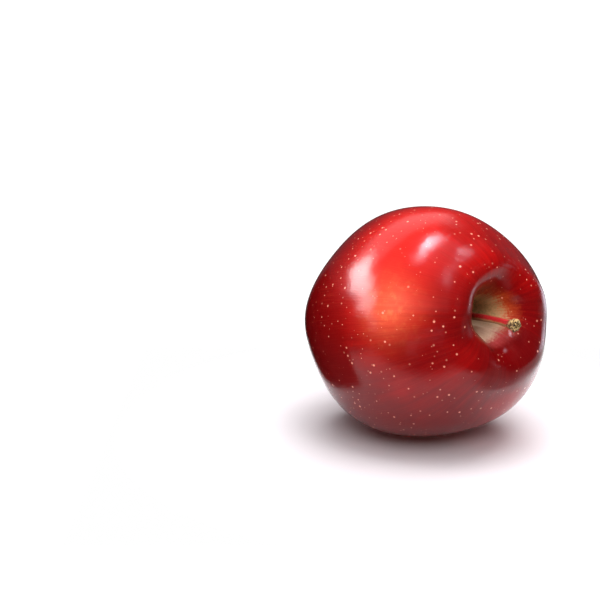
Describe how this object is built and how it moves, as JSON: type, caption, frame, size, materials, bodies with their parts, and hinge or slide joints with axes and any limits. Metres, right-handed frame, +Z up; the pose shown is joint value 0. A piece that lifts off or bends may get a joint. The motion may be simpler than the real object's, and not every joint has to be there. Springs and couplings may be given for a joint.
{
  "type": "apple",
  "caption": "Tall red apple lying on its cheek, with lobed shoulders, a deep stem cavity, a woody stem with a knobbed end and a dried flower in the calyx basin",
  "frame": {"origin": "the middle of the small flat spot on the cheek that the apple rests on", "axes": "+Z up; the stem end faces -Y and points 15.5 degrees above the horizontal; +X is to the right when looking at the stem end"},
  "size_m": [0.0757, 0.0821, 0.0752],
  "materials": {
    "skin": "waxy, glossy fruit skin, deep red with fine streaks and small pale dots",
    "stem_wood": "matt, red-brown, woody at the knob",
    "dried_sepal": "dry, downy, grey-brown",
    "dried_stamen": "dry, dark brown"
  },
  "bodies": {
    "root": {"fruit": "skin", "stem": "stem_wood", "sepal_1": "dried_sepal", "sepal_2": "dried_sepal", "sepal_3": "dried_sepal", "sepal_4": "dried_sepal", "sepal_5": "dried_sepal", "stamen_01": "dried_stamen", "stamen_02": "dried_stamen", "stamen_03": "dried_stamen", "stamen_04": "dried_stamen", "stamen_05": "dried_stamen", "stamen_06": "dried_stamen", "stamen_07": "dried_stamen", "stamen_08": "dried_stamen", "stamen_09": "dried_stamen", "stamen_10": "dried_stamen", "style_column": "dried_stamen"}
  },
  "joints": []
}
